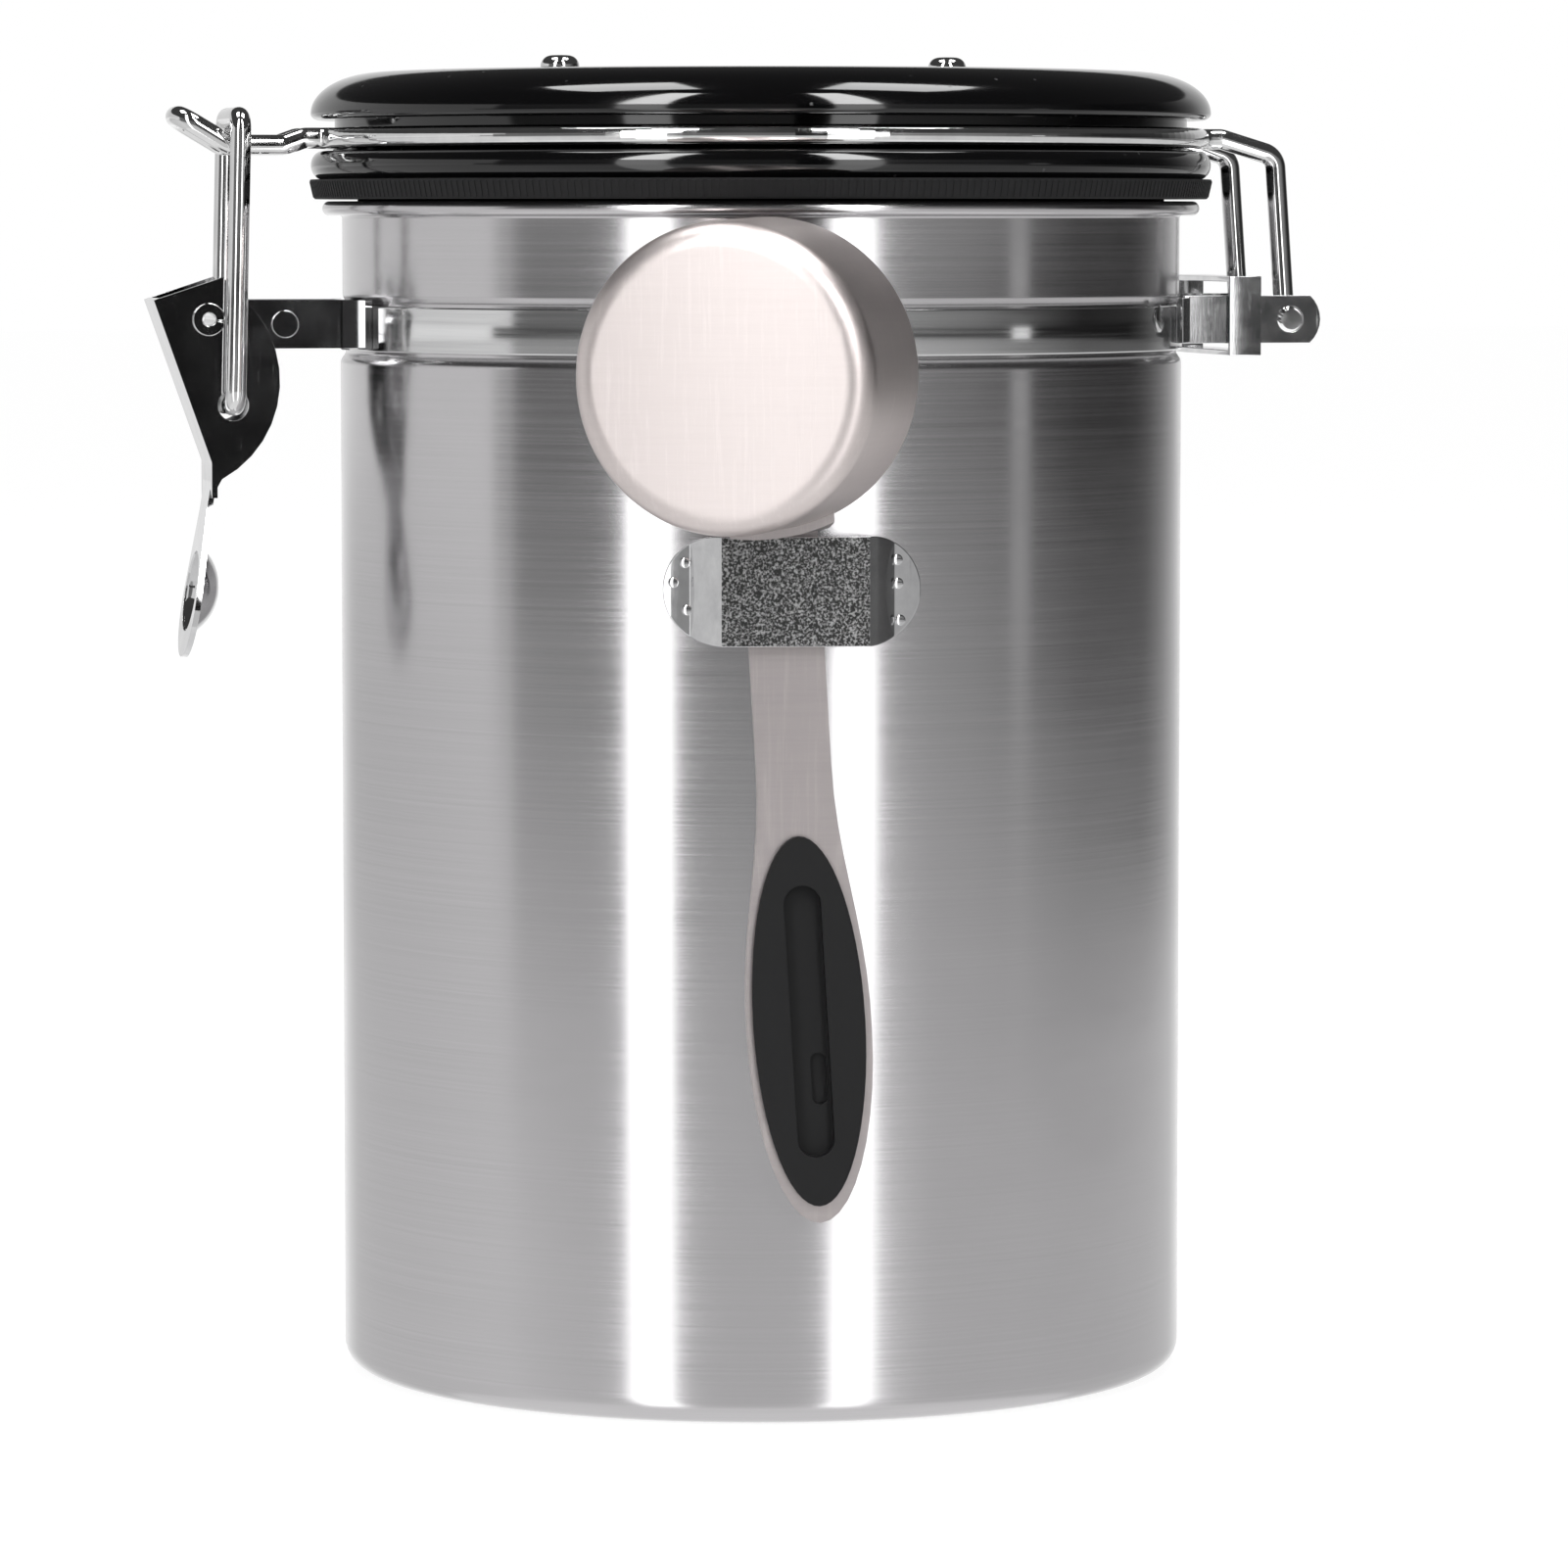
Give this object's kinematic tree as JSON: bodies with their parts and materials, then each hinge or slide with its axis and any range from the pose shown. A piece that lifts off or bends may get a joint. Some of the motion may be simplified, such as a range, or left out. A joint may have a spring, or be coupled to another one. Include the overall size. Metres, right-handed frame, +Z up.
{
  "type": "coffee canister",
  "caption": "Steel coffee canister with a bail-wire lid, one-way valve, date dial and a scoop held in a bracket on its front.",
  "frame": {"origin": "centre of the can's base, on the surface it stands on", "axes": "+Z up the can's axis; +X towards the hinge, -X towards the lever; the scoop is near -Y"},
  "size_m": [0.1665, 0.1604, 0.1869],
  "materials": {
    "brushed_body": "fine brushed round the can",
    "bright_bracket": "bright pressed steel",
    "bright_band": "polished",
    "bright_hardware": "bright plated",
    "rivet_steel": "dull bright",
    "bright_wire": "plated wire",
    "bright_lever": "plated, lightly scratched",
    "black_lid": "high gloss",
    "black_silicone": "matt",
    "dial_black": "satin",
    "bright_nub": "polished",
    "vent_black": "satin",
    "valve_plastic": "moulded",
    "clear_silicone": "soft",
    "filter_felt": "felt",
    "brushed_scoop": "spun and brushed",
    "grip_rubber": "matt"
  },
  "bodies": {
    "can": {"canister_body": "brushed_body", "scoop_bracket": "bright_bracket", "band_front": "bright_band", "band_rear": "bright_band", "lever_bracket": "bright_hardware", "bracket_rivets": "rivet_steel", "lever_rivet": "rivet_steel", "hinge_tab_front": "bright_hardware", "hinge_tab_rear": "bright_hardware", "hinge_clip": "bright_hardware"},
    "bail": {"lid_wire": "bright_wire"},
    "lid": {"lid_base": "black_lid", "lid_cover": "black_lid", "lid_gasket": "black_silicone", "lid_screws": "rivet_steel", "dial_plate": "dial_black", "vent_cap": "vent_black", "valve_seat": "valve_plastic", "valve_filter": "filter_felt", "filter_ring": "valve_plastic"},
    "day_dial": {"day_ring": "dial_black", "day_nub": "bright_nub"},
    "month_dial": {"month_ring": "dial_black", "month_nub": "bright_nub"},
    "flap": {"valve_flap": "clear_silicone"},
    "lever": {"lever": "bright_lever"},
    "catch": {"catch_wire": "bright_wire"},
    "scoop": {"scoop_cup": "brushed_scoop", "scoop_handle": "brushed_scoop", "scoop_grip": "grip_rubber"}
  },
  "joints": [
    {"name": "lid_hinge", "type": "hinge", "parent": "can", "child": "bail", "pos_m": [0.0742, 0, 0.1498], "axis": [0, 1, 0], "range_deg": [0, 105]},
    {"name": "lid_turn", "type": "hinge", "parent": "bail", "child": "lid", "pos_m": [0, 0, 0.17545], "axis": [0, 0, 1], "continuous": true},
    {"name": "day_turn", "type": "hinge", "parent": "lid", "child": "day_dial", "pos_m": [0, 0, 0.184], "axis": [0, 0, 1], "continuous": true},
    {"name": "month_turn", "type": "hinge", "parent": "lid", "child": "month_dial", "pos_m": [0, 0, 0.184], "axis": [0, 0, 1], "continuous": true},
    {"name": "flap_lift", "type": "slide", "parent": "lid", "child": "flap", "axis": [0, 0, 1], "range_m": [0, 0.001]},
    {"name": "lever_swing", "type": "hinge", "parent": "can", "child": "lever", "pos_m": [-0.0801, 0, 0.1501], "axis": [0, 1, 0], "range_deg": [0, 105]},
    {"name": "catch_swing", "type": "hinge", "parent": "lever", "child": "catch", "pos_m": [-0.0767, 0, 0.1381], "axis": [0, 1, 0], "range_deg": [-74, 0]},
    {"name": "scoop_lift", "type": "slide", "parent": "can", "child": "scoop", "axis": [0, 0, 1], "range_m": [0, 0.036]}
  ],
  "couplings": [
    {"joint": "catch_swing", "follows": "lever_swing", "ratio": -0.7}
  ]
}
